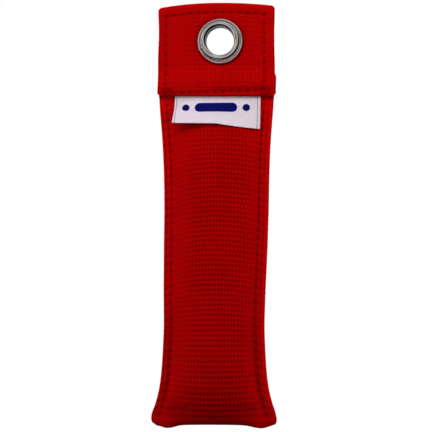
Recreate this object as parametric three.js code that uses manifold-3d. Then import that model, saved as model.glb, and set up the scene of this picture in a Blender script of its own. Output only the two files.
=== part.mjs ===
// A slim hanging weight bag: one strip of heavy woven webbing, folded up at the bottom into a sleeve
// that holds steel shot in a liner, and folded over at the top into a flat header with a metal eyelet.
// Millimetres, +Z up, front towards -Y. The origin is the centre of the eyelet, in the plane of the
// side seams.
import * as THREE from "three";
import { mergeVertices } from "three/addons/utils/BufferGeometryUtils.js";
import Module from "manifold-3d";

const wasm = await Module();
wasm.setup();

// ---- Driving dimensions -------------------------------------------------------------------------------

const PLY = 1.0; // thickness of the webbing
const GAP = 0.1; // air between two plies that are sewn together
const LABEL_PLY = 0.35;

const HEADER_CENTRE_X = -2.8; // the eyelet is set a little to the right of the header's middle
const HEADER_HALF_WIDTH = 42;
const HEADER_TOP = 26.5; // crest of the fold at the top of the header
const FLAP_BOTTOM = -39.6; // lower edge of the flap that is folded over to the front
const HEM = 9; // depth of the flap's turned-in edge
const RAMP_TOP = -19.5; // between these heights the flap climbs over the hems under it
const RAMP_BOTTOM = -30.5;
const INNER_HEM_TOP = -27; // fold of the sleeve's own front edge, inside the header
const INNER_HEM_END = 1; // that edge stops this far above the flap's
const INNER_HEM_INSET = 0.6; // and this far inside its sides

const FOLD_Z = -43; // the header folds against the bag about this line
const FOLD_CLEARANCE = 2.6; // the header's inner plies end this far above it
const BAG_TOP = FOLD_Z - 0.3;
const SEAM_END = 0.7; // the rows of stitching end this far below the top of the bag
const SEAM_BOTTOM = -271;
const BAG_BOTTOM = -276.5;
const FLANGE_LEFT = 6.2; // sewn edge outside the filled part, with its allowance turned in
const FLANGE_RIGHT = 7.8;
const FLANGE_PLIES = 2 * PLY; // on each side of the seam plane

const INNER_ROW = 0.9; // the inner row of stitching, outside the filled part
const OUTER_ROW = 4.4;
const BOX_LEFT = -39.4; // the box of stitching through the header
const BOX_RIGHT = 31.9;
const BOX_TOP = 20.4;
const BOX_BOTTOM = -36;
const THREAD_WIDTH = 0.9;
const THREAD_HEIGHT = 0.45;
const THREAD_CLEARANCE = 0.15;
const BARTACK_WIDTH = 6;
const BARTACK_HEIGHT = 4.2;
const BARTACK_SHIFT = 1.2; // to the right of the row of stitching

const LINER_CLEARANCE = 0.35;
const LINER_WALL = 0.6;
const LINER_TOP = -52;
const LINER_BOTTOM = -269;
const SHOT_TOP = -60;

const EYELET_HOLE_RADIUS = 10;
const EYELET_SHEET = 0.5; // thickness of the eyelet's metal
const EYELET_RIM_RADIUS = 16.4;
const CLOTH_HOLE_RADIUS = 10.9;
const CUTTER_LENGTH = 40; // of the drill for that hole, more than the header is thick
const ROLL_RADIUS = 1.7; // of the lip that is rolled over the washer, to the middle of the metal
const ROLL_Y = -2.3;
const EYELET_STEPS = 48;
// Middle of the metal, as [inwards from the rim or outwards from the hole, y].
const BARREL_RIM = [
  [0.2, 1.5],
  [1.0, 2.15],
  [2.6, 2.4],
];
const BARREL_SHOULDER = [
  [1.3, 2.2],
  [0.4, 1.7],
  [0, 0.9],
];
const WASHER_RIM = [
  [0.2, -1.5],
  [0.6, -2.1],
  [1.3, -2.25],
  [2.1, -1.75],
];
const WASHER_BORE = [1.3, -1.5];

const LABEL_CENTRE_X = -1.7;
const LABEL_HALF_WIDTH = 30.8;
const LABEL_PIVOT_Y = -2.9; // the free part of the label bends about this line
const LABEL_PIVOT_Z = -48.2;
const LABEL_SLOPE_DEG = 33; // it leans out over the top of the filled part
const LABEL_LENGTH = 15.5;
const LABEL_ROOT_LOW = 0.2; // the part inside the hem, above the flap's edge
const LABEL_ROOT_HIGH = 7;

// The bag's half width from its middle to its edge at each height, [z, half width].
const HALF_WIDTH = [
  [-276.5, 36.0],
  [-274.5, 42.0],
  [-272, 45.0],
  [-258, 41.0],
  [-244, 38.2],
  [-206, 36.0],
  [-160, 37.1],
  [-103, 37.8],
  [-80, 38.6],
  [-43, 41.4],
];
// The bag's middle drifts to the left on the way down, [z, x].
const MIDDLE_X = [
  [-276.5, -4.7],
  [-200, -4.5],
  [-110, -2.7],
  [-43, -2.8],
];
// Half the depth of the space inside the bag, at its middle, [z, half depth].
const HALF_DEPTH = [
  [-275.3, 0.4],
  [-272, 4.6],
  [-266, 8.6],
  [-256, 12.4],
  [-240, 15.2],
  [-215, 16.2],
  [-150, 16.0],
  [-90, 15.2],
  [-70, 12.4],
  [-60, 8.6],
  [-53, 4.0],
  [-48.2, 0.7],
  [-43, 0.1],
];
const ARC_ANGLE = 1.0; // half the angle that each face of the filled section turns through, in radians
const SECTION_STEPS = 14;
const BAG_LEVELS = [
  -276.5, -275.3, -273.5, -272, -269, -264, -256, -246, -230, -206, -180, -150,
  -120, -100, -85, -74, -66, -60, -56.5, -53, -50.5, -48.2, -45.5,
];

// ---- Materials ----------------------------------------------------------------------------------------

const material = (color, roughness, metalness) =>
  new THREE.MeshStandardMaterial({ color, roughness, metalness });
const MATERIALS = {
  webbing: material(0xa80404, 0.92, 0),
  thread: material(0x8c0303, 0.8, 0),
  eyelet: material(0xc9c9cc, 0.22, 1),
  label: material(0xe6dfe6, 0.7, 0),
  liner: material(0x3a3a3a, 0.85, 0),
  shot: material(0x6f7174, 0.45, 0.9),
};

// ---- Helpers ------------------------------------------------------------------------------------------

// A closed geometry as a manifold-3d solid, so that it can be cut.
function solidOf(geometry) {
  const bare = new THREE.BufferGeometry();
  bare.setAttribute("position", geometry.getAttribute("position"));
  bare.setIndex(geometry.index);
  const merged = mergeVertices(bare, 1e-4);
  return new wasm.Manifold(
    new wasm.Mesh({
      numProp: 3,
      vertProperties: new Float32Array(merged.attributes.position.array),
      triVerts: new Uint32Array(merged.index.array),
    }),
  );
}

function geometryOf(solid) {
  const mesh = solid.getMesh();
  const geometry = new THREE.BufferGeometry();
  geometry.setAttribute("position", new THREE.BufferAttribute(mesh.vertProperties, 3));
  geometry.setIndex(new THREE.BufferAttribute(mesh.triVerts, 1));
  geometry.computeVertexNormals();
  return geometry;
}

// A closed geometry from rings of the same number of points, with a fan from the middle of each end ring.
function skinOf(rings) {
  const count = rings[0].length;
  const middle = (ring) => [0, 1, 2].map((k) => ring.reduce((sum, point) => sum + point[k], 0) / count);
  const positions = [...rings.flat(), middle(rings[0]), middle(rings.at(-1))].flat();
  const [firstMiddle, lastMiddle] = [rings.length * count, rings.length * count + 1];
  const lastRing = (rings.length - 1) * count;
  const index = [];
  for (let i = 0; i < count; i++) {
    const next = (i + 1) % count;
    for (let r = 0; r < lastRing; r += count)
      index.push(r + i, r + next, r + next + count, r + i, r + next + count, r + i + count);
    index.push(firstMiddle, next, i, lastMiddle, lastRing + i, lastRing + next);
  }
  const geometry = new THREE.BufferGeometry();
  geometry.setAttribute("position", new THREE.Float32BufferAttribute(positions, 3));
  geometry.setIndex(index);
  return geometry;
}

// A profile in (y, z), extruded along X from x0 to x1.
function extrudeAcross(profile, x0, x1) {
  const shape = new THREE.Shape(profile.map(([y, z]) => new THREE.Vector2(y, z)));
  const geometry = new THREE.ExtrudeGeometry(shape, { depth: x1 - x0, bevelEnabled: false });
  const axes = [new THREE.Vector3(0, 1, 0), new THREE.Vector3(0, 0, 1), new THREE.Vector3(1, 0, 0)];
  geometry.applyMatrix4(new THREE.Matrix4().makeBasis(...axes));
  return geometry.translate(x0, 0, 0);
}

const box = (x0, x1, y0, y1, z0, z1) =>
  new THREE.BoxGeometry(x1 - x0, y1 - y0, z1 - z0).translate((x0 + x1) / 2, (y0 + y1) / 2, (z0 + z1) / 2);

// At each point of a path, the unit direction that halves the turn, and how much a mitre stretches there.
function mitres(path) {
  return path.map((point, i) => {
    const before = (i > 0 ? point.clone().sub(path[i - 1]) : path[1].clone().sub(point)).normalize();
    const after = (i + 1 < path.length ? path[i + 1].clone().sub(point) : before.clone()).normalize();
    const along = before.clone().add(after).normalize();
    return { along, stretch: 1 / Math.max(0.5, along.dot(before)) };
  });
}

// The outline of a sheet of this thickness whose middle follows the points of path.
function sheetOutline(path, thickness) {
  const points = path.map(([x, y]) => new THREE.Vector2(x, y));
  const turns = mitres(points);
  const offset = (side) =>
    points.map((point, i) => {
      const normal = new THREE.Vector2(-turns[i].along.y, turns[i].along.x);
      const moved = point.clone().addScaledVector(normal, (side * thickness * turns[i].stretch) / 2);
      return [moved.x, moved.y];
    });
  return [...offset(1), ...offset(-1).reverse()];
}

// The points of an arc, from one angle to another in degrees.
function arc(cx, cy, radius, from, to, steps) {
  return Array.from({ length: steps + 1 }, (_, i) => {
    const angle = THREE.MathUtils.degToRad(from + ((to - from) * i) / steps);
    return [cx + radius * Math.cos(angle), cy + radius * Math.sin(angle)];
  });
}

// A smooth curve through [z, value] pairs, in rising order of z, that never overshoots them.
function smooth(pairs) {
  const slope = (i) => (pairs[i + 1][1] - pairs[i][1]) / (pairs[i + 1][0] - pairs[i][0]);
  const tangents = pairs.map((_, i) => {
    if (i === 0) return slope(0);
    if (i === pairs.length - 1) return slope(i - 1);
    const [a, b] = [slope(i - 1), slope(i)];
    return a * b <= 0 ? 0 : (2 * a * b) / (a + b);
  });
  return (z) => {
    const above = pairs.findIndex((pair) => pair[0] > z);
    const i = THREE.MathUtils.clamp((above < 0 ? pairs.length : above) - 1, 0, pairs.length - 2);
    const span = pairs[i + 1][0] - pairs[i][0];
    const t = THREE.MathUtils.clamp((z - pairs[i][0]) / span, 0, 1);
    const rise = t * t * (3 - 2 * t);
    return (
      pairs[i][1] * (1 - rise) +
      pairs[i + 1][1] * rise +
      span * t * (1 - t) * (tangents[i] * (1 - t) - tangents[i + 1] * t)
    );
  };
}

// ---- The bag ------------------------------------------------------------------------------------------

const halfWidthAt = smooth(HALF_WIDTH);
const middleAt = smooth(MIDDLE_X);
const halfDepthAt = smooth(HALF_DEPTH);
const leftEdgeAt = (z) => middleAt(z) - halfWidthAt(z);
const rightEdgeAt = (z) => middleAt(z) + halfWidthAt(z);

// One face of the filled section at z, an arc from the left seam to the right one, each point as
// [x, distance from the seam plane].
function bulge(z, shrink) {
  const left = leftEdgeAt(z) + FLANGE_LEFT + shrink;
  const right = rightEdgeAt(z) - FLANGE_RIGHT - shrink;
  const depth = Math.max(0.05, halfDepthAt(z) - shrink);
  return Array.from({ length: SECTION_STEPS + 1 }, (_, i) => {
    const angle = ARC_ANGLE * ((2 * i) / SECTION_STEPS - 1);
    const across = (1 + Math.sin(angle) / Math.sin(ARC_ANGLE)) / 2;
    const out = (Math.cos(angle) - Math.cos(ARC_ANGLE)) / (1 - Math.cos(ARC_ANGLE));
    return [THREE.MathUtils.lerp(left, right, across), depth * out];
  });
}

// A ring round the section at z: the front from left to right, then the back from right to left.
const ringOf = (half, z) => [
  ...half.map(([x, out]) => [x, -out, z]),
  ...half.toReversed().map(([x, out]) => [x, out, z]),
];

// The outside of the sleeve at z: its filled part, and a flange of turned plies at each side.
function outsideRing(z) {
  const out = GAP + FLANGE_PLIES;
  const filled = bulge(z, 0).map(([x, depth]) => [x, Math.max(out, depth + GAP + PLY)]);
  return ringOf([[leftEdgeAt(z), out], ...filled, [rightEdgeAt(z), out]], z);
}

const insideRing = (z) => ringOf(bulge(z, 0).map(([x, depth]) => [x, depth + GAP]), z);
const shrunkRing = (shrink) => (z) => ringOf(bulge(z, shrink), z);
const loft = (levels, ringAt) => solidOf(skinOf(levels.map(ringAt)));
const levelsBetween = (low, high) => [low, ...BAG_LEVELS.filter((z) => z > low && z < high), high];

// The sleeve is open only at its top edge, which the header holds shut.
function sleeve() {
  const outside = loft(levelsBetween(BAG_BOTTOM, BAG_TOP), outsideRing);
  const inside = loft(levelsBetween(BAG_BOTTOM + PLY, BAG_TOP + 1), insideRing);
  return geometryOf(outside.subtract(inside));
}

function liner() {
  const outside = loft(levelsBetween(LINER_BOTTOM, LINER_TOP), shrunkRing(LINER_CLEARANCE));
  const inside = loft(
    levelsBetween(LINER_BOTTOM + LINER_WALL, LINER_TOP + 1),
    shrunkRing(LINER_CLEARANCE + LINER_WALL),
  );
  return geometryOf(outside.subtract(inside));
}

function shotFill() {
  const low = LINER_BOTTOM + LINER_WALL + LINER_CLEARANCE;
  return skinOf(levelsBetween(low, SHOT_TOP).map(shrunkRing(2 * LINER_CLEARANCE + LINER_WALL)));
}

// ---- Stitching ----------------------------------------------------------------------------------------

// A flat strand along points [x, y, z] that lie on a surface; face is -1 on the front and 1 on the back.
function strand(points, face) {
  const path = points.map((point) => new THREE.Vector3(...point));
  const up = new THREE.Vector3(0, face, 0);
  const turns = mitres(path);
  const rings = path.map((point, i) => {
    const side = turns[i].along.clone().cross(up).normalize();
    const corner = (across, height) =>
      point
        .clone()
        .addScaledVector(side, across * THREAD_WIDTH * turns[i].stretch)
        .addScaledVector(up, THREAD_CLEARANCE + height)
        .toArray();
    return [corner(-0.5, 0), corner(-0.3, THREAD_HEIGHT), corner(0.3, THREAD_HEIGHT), corner(0.5, 0)];
  });
  return skinOf(rings);
}

function seamThread(edgeAt, inwards, inset, face) {
  const points = levelsBetween(SEAM_BOTTOM, BAG_TOP - SEAM_END).map((z) => [
    edgeAt(z) + inwards * inset,
    face * (GAP + FLANGE_PLIES),
    z,
  ]);
  return strand(points, face);
}

// ---- The header ---------------------------------------------------------------------------------------

// Middles of the plies at the lower edge of the header, from the seam plane to the front.
const FRONT_PLY_Y = -(GAP + PLY / 2);
const INNER_HEM_Y = FRONT_PLY_Y - (PLY + GAP);
const LABEL_ROOT_Y = INNER_HEM_Y - (PLY / 2 + GAP + LABEL_PLY / 2);
const FLAP_HEM_Y = LABEL_ROOT_Y - (LABEL_PLY / 2 + GAP + PLY / 2);
const FLAP_Y = FLAP_HEM_Y - (PLY + GAP);
const TURN_RADIUS = (PLY + GAP) / 2; // of the middle of a ply that is folded flat on itself

const HEADER_X = [HEADER_CENTRE_X - HEADER_HALF_WIDTH, HEADER_CENTRE_X + HEADER_HALF_WIDTH];
const LABEL_X = [LABEL_CENTRE_X - LABEL_HALF_WIDTH, LABEL_CENTRE_X + LABEL_HALF_WIDTH];

// The webbing of the header: flap hem, flap, fold over the top, and back ply, with a hole for the eyelet.
function headerWrap() {
  const path = [
    [FLAP_HEM_Y, FLAP_BOTTOM + HEM],
    ...arc(FLAP_HEM_Y - TURN_RADIUS, FLAP_BOTTOM + TURN_RADIUS + PLY / 2, TURN_RADIUS, 0, -180, 6),
    [FLAP_Y, RAMP_BOTTOM],
    [FRONT_PLY_Y, RAMP_TOP],
    ...arc(0, HEADER_TOP - PLY / 2 + FRONT_PLY_Y, -FRONT_PLY_Y, 180, 0, 8),
    [-FRONT_PLY_Y, FOLD_Z + FOLD_CLEARANCE],
  ];
  const sheet = solidOf(extrudeAcross(sheetOutline(path, PLY), ...HEADER_X));
  const cutter = [CLOTH_HOLE_RADIUS, CLOTH_HOLE_RADIUS, CUTTER_LENGTH, EYELET_STEPS];
  const hole = solidOf(new THREE.CylinderGeometry(...cutter));
  return geometryOf(sheet.subtract(hole));
}

// The sleeve's front edge, turned to the front and held between the back ply and the flap.
function headerInnerPly() {
  const path = [
    [FRONT_PLY_Y, FOLD_Z + FOLD_CLEARANCE],
    ...arc(FRONT_PLY_Y - TURN_RADIUS, INNER_HEM_TOP - TURN_RADIUS - PLY / 2, TURN_RADIUS, 0, 180, 6),
    [INNER_HEM_Y, FLAP_BOTTOM + INNER_HEM_END],
  ];
  const [left, right] = HEADER_X;
  return extrudeAcross(sheetOutline(path, PLY), left + INNER_HEM_INSET, right - INNER_HEM_INSET);
}

// The box of stitching: it starts and ends at the lower left corner, and on the front it follows the flap.
function headerThread(face) {
  const low = face < 0 ? FLAP_Y - PLY / 2 : GAP + PLY;
  const high = face * (GAP + PLY);
  const column = (x) => [
    [x, low, RAMP_BOTTOM],
    [x, high, RAMP_TOP],
    [x, high, BOX_TOP],
  ];
  const start = [BOX_LEFT, low, BOX_BOTTOM + 2 * THREAD_WIDTH];
  const foot = [
    [BOX_RIGHT, low, BOX_BOTTOM],
    [BOX_LEFT, low, BOX_BOTTOM],
  ];
  return strand([start, ...column(BOX_LEFT), ...column(BOX_RIGHT).reverse(), ...foot], face);
}

// A block of close zigzag stitching over a lower corner of the box.
function bartack(x) {
  const y = FLAP_Y - PLY / 2 - THREAD_CLEARANCE - THREAD_HEIGHT - GAP;
  const [half, z] = [BARTACK_WIDTH / 2, BOX_BOTTOM - THREAD_WIDTH];
  return box(x - half, x + half, y - THREAD_HEIGHT, y, z, z + BARTACK_HEIGHT);
}

// ---- The eyelet: a flanged barrel from the back, rolled over a washer on the front ------------------

function lathe(path) {
  const outline = sheetOutline(path, EYELET_SHEET).reverse();
  const points = [...outline, outline[0]].map(([r, y]) => new THREE.Vector2(r, y));
  return new THREE.LatheGeometry(points, EYELET_STEPS);
}

const fromRim = (points) => points.map(([inwards, y]) => [EYELET_RIM_RADIUS - inwards, y]);

function eyeletBarrel() {
  const wall = EYELET_HOLE_RADIUS + EYELET_SHEET / 2;
  return lathe([
    ...fromRim(BARREL_RIM),
    ...BARREL_SHOULDER.map(([out, y]) => [wall + out, y]),
    ...arc(wall + ROLL_RADIUS, ROLL_Y, ROLL_RADIUS, 180, 350, 10),
  ]);
}

function eyeletWasher() {
  return lathe([...fromRim(WASHER_RIM), [EYELET_HOLE_RADIUS + WASHER_BORE[0], WASHER_BORE[1]]]);
}

// ---- The label ----------------------------------------------------------------------------------------

function labelRoot() {
  const [y0, y1] = [LABEL_ROOT_Y - LABEL_PLY / 2, LABEL_ROOT_Y + LABEL_PLY / 2];
  return box(...LABEL_X, y0, y1, FLAP_BOTTOM + LABEL_ROOT_LOW, FLAP_BOTTOM + LABEL_ROOT_HIGH);
}

function label() {
  const slope = THREE.MathUtils.degToRad(LABEL_SLOPE_DEG);
  const end = [
    LABEL_PIVOT_Y - LABEL_LENGTH * Math.sin(slope),
    LABEL_PIVOT_Z - LABEL_LENGTH * Math.cos(slope),
  ];
  return extrudeAcross(sheetOutline([[LABEL_PIVOT_Y, LABEL_PIVOT_Z], end], LABEL_PLY), ...LABEL_X);
}

// ---- Assembly -----------------------------------------------------------------------------------------

const weightBag = new THREE.Group();

function add(name, geometry, look) {
  const mesh = new THREE.Mesh(geometry, MATERIALS[look]);
  mesh.name = name;
  weightBag.add(mesh);
}

add("header_wrap", headerWrap(), "webbing");
add("header_inner_ply", headerInnerPly(), "webbing");
add("header_box_needle_thread", headerThread(-1), "thread");
add("header_box_bobbin_thread", headerThread(1), "thread");
add("left_bartack", bartack(BOX_LEFT + BARTACK_SHIFT), "thread");
add("right_bartack", bartack(BOX_RIGHT + BARTACK_SHIFT), "thread");
add("eyelet_barrel", eyeletBarrel(), "eyelet");
add("eyelet_washer", eyeletWasher(), "eyelet");
add("label_root", labelRoot(), "label");
add("label", label(), "label");
add("sleeve", sleeve(), "webbing");
add("liner", liner(), "liner");
add("shot_fill", shotFill(), "shot");

const SIDES = [
  { name: "left", edgeAt: leftEdgeAt, inwards: 1, flange: FLANGE_LEFT },
  { name: "right", edgeAt: rightEdgeAt, inwards: -1, flange: FLANGE_RIGHT },
];
for (const { name, edgeAt, inwards, flange } of SIDES)
  for (const [row, offset] of [["inner", INNER_ROW], ["outer", OUTER_ROW]])
    for (const [thread, face] of [["needle", -1], ["bobbin", 1]])
      add(`${name}_${row}_${thread}_thread`, seamThread(edgeAt, inwards, flange - offset, face), "thread");

export default weightBag;
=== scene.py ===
"""The looks of a hanging weight bag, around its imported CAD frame.

One strip of woven webbing is built as one grid of points, in its true order: up the inside of the flap's
foot, down the front of the sleeve, round the bottom fold, up the back, over the crest of the header and down
the flap to its hem. A cloth simulation fills the sleeve. The grid is then relieved with the weave, pulled in
along the stitching, and cut into four pieces that meet point for point. Lengths are in millimetres until a
mesh is made.
"""

import bpy
import numpy as np
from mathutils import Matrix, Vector


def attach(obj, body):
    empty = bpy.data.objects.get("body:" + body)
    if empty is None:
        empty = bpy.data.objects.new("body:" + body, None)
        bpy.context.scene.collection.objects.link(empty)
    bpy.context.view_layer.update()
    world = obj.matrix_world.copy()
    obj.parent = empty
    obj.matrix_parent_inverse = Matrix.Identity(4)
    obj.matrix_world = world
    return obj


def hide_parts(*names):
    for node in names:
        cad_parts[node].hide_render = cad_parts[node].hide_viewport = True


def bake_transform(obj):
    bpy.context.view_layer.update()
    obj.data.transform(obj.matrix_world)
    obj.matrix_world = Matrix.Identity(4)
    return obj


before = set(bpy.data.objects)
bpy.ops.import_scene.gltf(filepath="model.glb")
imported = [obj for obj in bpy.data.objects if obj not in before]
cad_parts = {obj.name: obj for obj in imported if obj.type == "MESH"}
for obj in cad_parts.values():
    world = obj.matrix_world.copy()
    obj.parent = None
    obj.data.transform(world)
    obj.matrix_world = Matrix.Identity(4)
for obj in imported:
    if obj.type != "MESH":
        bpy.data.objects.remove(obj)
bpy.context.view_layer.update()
scene = bpy.context.scene

MM = 0.001

# ---- Driving dimensions, in millimetres, the same as in the CAD source where it has them ----

PLY = 1.0
GAP = 0.1
FLANGE_LEFT, FLANGE_RIGHT = 6.2, 7.8  # sewn edge outside the filled part
INNER_ROW, OUTER_ROW = 0.9, 4.4  # rows of stitching, outside the filled part
HEADER_LEFT, HEADER_RIGHT = -44.8, 39.2
BOX_LEFT, BOX_RIGHT, BOX_BOTTOM = -39.4, 31.9, -36.0
FLAP_BOTTOM = -40.3
PIVOT_Z = -48.2  # of the label's free part
FLAP_FACE = 4.85  # from the seam plane to the face of the flap, over its hem
HEM_RADIUS = 1.05
CREST_TOP = 27.9  # of the fold over the header
BOX_BELOW_CREST = 6.6
HALF_ARC = 1.0  # radians, of the arc that each face of the CAD's filled part is

# ---- The strip ----

SEAM_TOP = -43.0
CORNER_Z = -275.2  # the seam's lower end, in the middle of the cloth
FLAT_LENGTH = 244.0  # of each panel, from the seam's top to the bottom fold
STEP = 0.5
STITCH_PITCH = 6.0
SIDE_PITCH = 7.0  # of the upright rows through the header
CELL = 2.8  # one yarn across


def node_points(name):
    """A CAD node's vertices, in millimetres."""
    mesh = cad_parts[name].data
    co = np.zeros(len(mesh.vertices) * 3)
    mesh.vertices.foreach_get("co", co)
    return co.reshape(-1, 3) / MM


def sleeve_rails():
    """The sleeve's left edge, right edge and greatest depth at each of its levels."""
    co = node_points("sleeve")
    levels = np.unique(co[:, 2].round(1))
    rows = []
    for z in levels:
        ring = co[np.abs(co[:, 2] - z) < 0.06]
        rows.append((z, ring[:, 0].min(), ring[:, 0].max(), -ring[:, 1].min()))
    return np.array(rows)


RAILS = sleeve_rails()
ROUNDED = -272.0  # below this the CAD outline only rounds the corners off


def smooth_interp(x, xs, ys):
    """Linear interpolation, softened by averaging over a few millimetres."""
    return sum(np.interp(x + d, xs, ys) for d in (-6, -3, 0, 3, 6)) / 5


STRAIGHT = RAILS[RAILS[:, 0] >= ROUNDED - 0.1]


def left_edge(z):
    return smooth_interp(z, STRAIGHT[:, 0], STRAIGHT[:, 1])


def right_edge(z):
    return smooth_interp(z, STRAIGHT[:, 0], STRAIGHT[:, 2])


def inner_depth(z):
    return np.maximum(smooth_interp(z, RAILS[:, 0], RAILS[:, 3]) - PLY - GAP, 0)


def panel_width(z):
    """Flat width of the filled part of a panel, whose arc the fill holds open."""
    return np.interp(z, [-275, -258, -244, -200, -100, -60, -43], [78.2, 75.6, 73.8, 72.6, 72.6, 71.8, 69.6])


def seam_height(share):
    """Height of the seam, this share of the way down it."""
    return SEAM_TOP + (CORNER_Z - SEAM_TOP) * share


def ease(t):
    t = np.clip(t, 0, 1)
    return t * t * (3 - 2 * t)


def unit(v):
    return v / np.maximum(np.linalg.norm(v, axis=-1, keepdims=True), 1e-9)


def bell(t):
    return np.exp(-(t**2))


def rounded(distance, reach, depth):
    """How far a round corner draws an edge in, at this distance from the corner."""
    return depth * (1 - np.sqrt(1 - np.clip(1 - distance / reach, 0, 1) ** 2))


def arc_share(angle):
    """An arc's depth at this angle from its middle, as a share of its greatest depth."""
    return (np.cos(angle) - np.cos(HALF_ARC)) / (1 - np.cos(HALF_ARC))


def grid_quads(index):
    """Quads of a grid of point numbers."""
    quads = [index[:-1, :-1], index[1:, :-1], index[1:, 1:], index[:-1, 1:]]
    return np.stack([q.ravel() for q in quads], 1)


# ---- Filling the sleeve by cloth simulation ----

SIM_ACROSS, SIM_DOWN = 28, 96
SIM_SCALE = 10 * MM  # the cloth solver is steadier on a larger pouch
SIM_FRAMES = 40
CLOTH = {
    "vertex_group_mass": "seams",
    "quality": 12,
    "mass": 0.3,
    "tension_stiffness": 80,
    "compression_stiffness": 20,
    "shear_stiffness": 10,
    "bending_stiffness": 4,
    "tension_damping": 10,
    "compression_damping": 10,
    "shear_damping": 10,
    "air_damping": 6,
    "use_pressure": True,
    "uniform_pressure_force": 20,
}


def fill_sleeve():
    """Two flat panels, sewn at their sides and bottom, blown up by pressure. Returns both as grids."""
    us = np.linspace(0, 1, SIM_ACROSS + 1)
    vs = np.linspace(0, 1, SIM_DOWN + 1)
    z = seam_height(vs)
    left = left_edge(z) + FLANGE_LEFT
    right = right_edge(z) - FLANGE_RIGHT
    arc = arc_share(HALF_ARC * (2 * us - 1))
    start = np.zeros((2, SIM_DOWN + 1, SIM_ACROSS + 1, 3))
    flat = np.zeros_like(start)
    for k, side in enumerate((-1, 1)):
        start[k, :, :, 0] = left[:, None] + (right - left)[:, None] * us
        start[k, :, :, 1] = side * inner_depth(z)[:, None] * arc * (vs < 1)[:, None]
        start[k, :, :, 2] = z[:, None]
        flat[k, :, :, 0] = (us - 0.5) * panel_width(z)[:, None]
        flat[k, :, :, 2] = (SEAM_TOP - vs * FLAT_LENGTH)[:, None]

    index = np.arange(2 * start[0, :, :, 0].size).reshape(2, SIM_DOWN + 1, SIM_ACROSS + 1)
    for line in (np.s_[:, 0], np.s_[:, -1], np.s_[0, :], np.s_[-1, :]):
        index[1][line] = index[0][line]
    used, index = np.unique(index, return_inverse=True)
    index = index.reshape(2, SIM_DOWN + 1, SIM_ACROSS + 1)
    front = grid_quads(index[0])
    back = grid_quads(index[1])[:, [0, 3, 2, 1]]  # turned over, so that it faces outwards too
    points = start.reshape(-1, 3)[used] * SIM_SCALE
    mesh = bpy.data.meshes.new("pouch")
    mesh.from_pydata(points.tolist(), [], np.concatenate([front, back]).tolist())
    pouch = bpy.data.objects.new("pouch", mesh)
    scene.collection.objects.link(pouch)
    pouch.shape_key_add(name="Basis")
    rest = pouch.shape_key_add(name="flat")
    rest.data.foreach_set("co", (flat.reshape(-1, 3)[used] * SIM_SCALE).ravel().astype(np.float32))
    rest.value = 0
    pinned = np.unique(np.concatenate([index[0][:, 0], index[0][:, -1], index[0][0, :]]))
    group = pouch.vertex_groups.new(name="seams")
    group.add([int(i) for i in pinned], 1.0, "REPLACE")
    cloth = pouch.modifiers.new("cloth", "CLOTH")
    cloth.settings.rest_shape_key = rest
    for key, value in CLOTH.items():
        setattr(cloth.settings, key, value)
    cloth.settings.effector_weights.gravity = 0
    cloth.collision_settings.use_collision = False
    cloth.collision_settings.use_self_collision = False
    cloth.point_cache.frame_start = 1
    cloth.point_cache.frame_end = SIM_FRAMES
    scene.frame_start, scene.frame_end = 1, SIM_FRAMES
    for number in range(1, SIM_FRAMES + 1):
        scene.frame_set(number)
    shaped = pouch.evaluated_get(bpy.context.evaluated_depsgraph_get()).to_mesh()
    co = np.zeros(len(shaped.vertices) * 3)
    shaped.vertices.foreach_get("co", co)
    co = co.reshape(-1, 3) / SIM_SCALE
    bpy.data.objects.remove(pouch)
    scene.frame_set(1)
    return co[index[0]], co[index[1]]


def resample(n_in, at):
    """Catmull-Rom weights that read a line of n_in samples at these fractional positions."""
    i = np.clip(np.floor(at).astype(int), 0, n_in - 2)
    t = at - i
    weights = np.zeros((len(at), n_in))
    taps = [
        (-1, -0.5 * t + t**2 - 0.5 * t**3),
        (0, 1 - 2.5 * t**2 + 1.5 * t**3),
        (1, 0.5 * t + 2 * t**2 - 1.5 * t**3),
        (2, -0.5 * t**2 + 0.5 * t**3),
    ]
    for shift, w in taps:
        k = i + shift
        low, high = k < 0, k > n_in - 1
        inside = ~(low | high)
        rows = np.arange(len(at))
        weights[rows[inside], k[inside]] += w[inside]
        # Beyond an end, the line goes on straight.
        for beyond, end, before in ((low, 0, 1), (high, n_in - 1, n_in - 2)):
            weights[rows[beyond], end] += 2 * w[beyond]
            weights[rows[beyond], before] -= w[beyond]
    return weights


def grid_normals(p):
    """Unit normals of a grid, outwards for a strip whose rows go down the front."""
    along = np.gradient(p, axis=0)
    across = np.gradient(p, axis=1)
    return unit(np.cross(along, across))


# ---- Columns of the strip: turned edge, flange, filled part, flange, turned edge ----

TURN_ANGLES = np.radians([180, 135, 100, 70, 40, 15])
N_LEFT, N_FILL, N_RIGHT = 11, 128, 14
TURN = len(TURN_ANGLES)
FIRST_FILL = TURN + N_LEFT
LAST_FILL = FIRST_FILL + N_FILL
COLUMNS = LAST_FILL + 1 + N_RIGHT + TURN


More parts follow.
